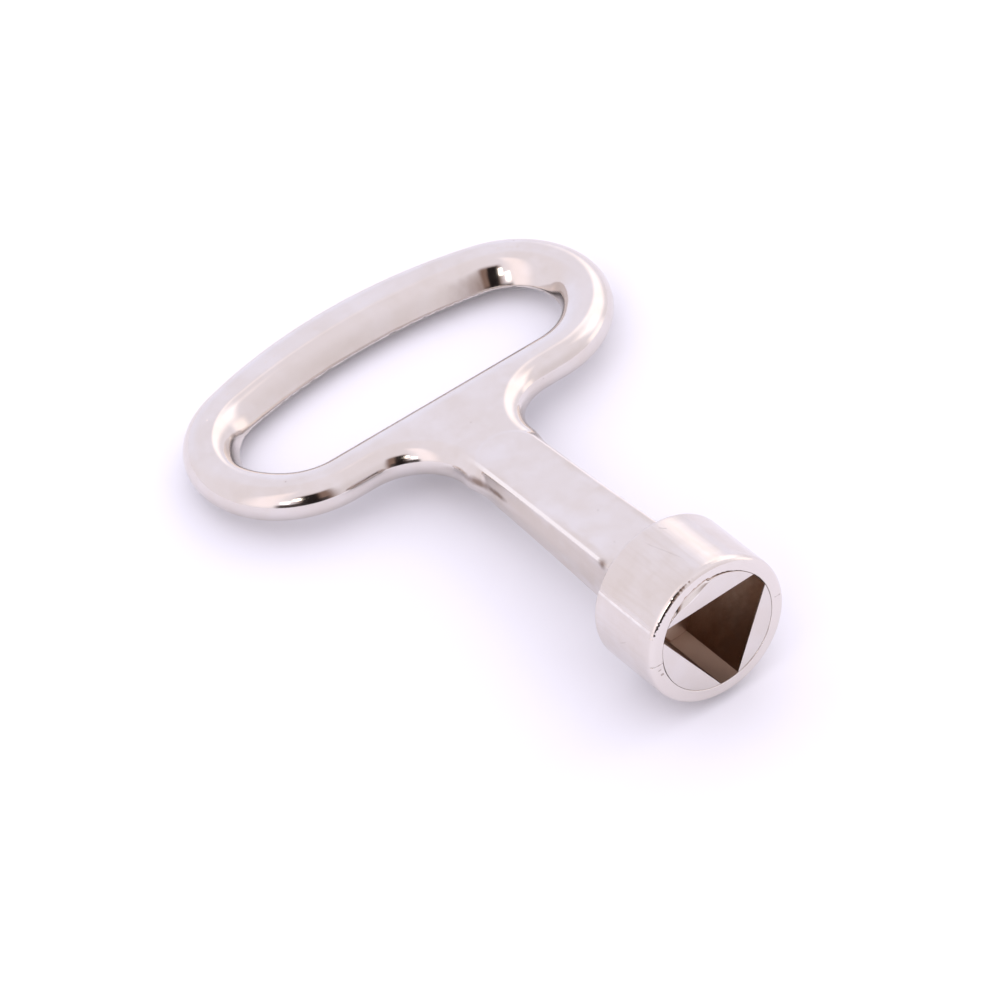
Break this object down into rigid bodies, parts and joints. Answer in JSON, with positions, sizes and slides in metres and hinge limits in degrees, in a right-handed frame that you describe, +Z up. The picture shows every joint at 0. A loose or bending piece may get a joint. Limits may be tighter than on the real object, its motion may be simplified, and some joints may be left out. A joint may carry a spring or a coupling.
{
  "type": "radiator bleed key",
  "caption": "Nickel-plated die-cast key with an oval finger loop, flat web, rectangular shank and round head with a triangular socket.",
  "frame": {"origin": "centre of the whole key's bounding box, on the key's axis", "axes": "+Y runs along the key's axis from the socket mouth to the far side of the finger loop; X runs across the loop; +Z is up, square to the loop's flat side"},
  "size_m": [0.0516, 0.0716, 0.017],
  "materials": {
    "nickel_plate": "bright nickel plating over a zinc die casting",
    "nickel_shank": "bright nickel plating, faintly stained",
    "nickel_head": "bright nickel plating",
    "nickel_socket": "thin dull plating inside the socket"
  },
  "bodies": {
    "root": {"bow": "nickel_plate", "shank": "nickel_shank", "socket_collar": "nickel_head", "socket_core": "nickel_socket"}
  },
  "joints": []
}
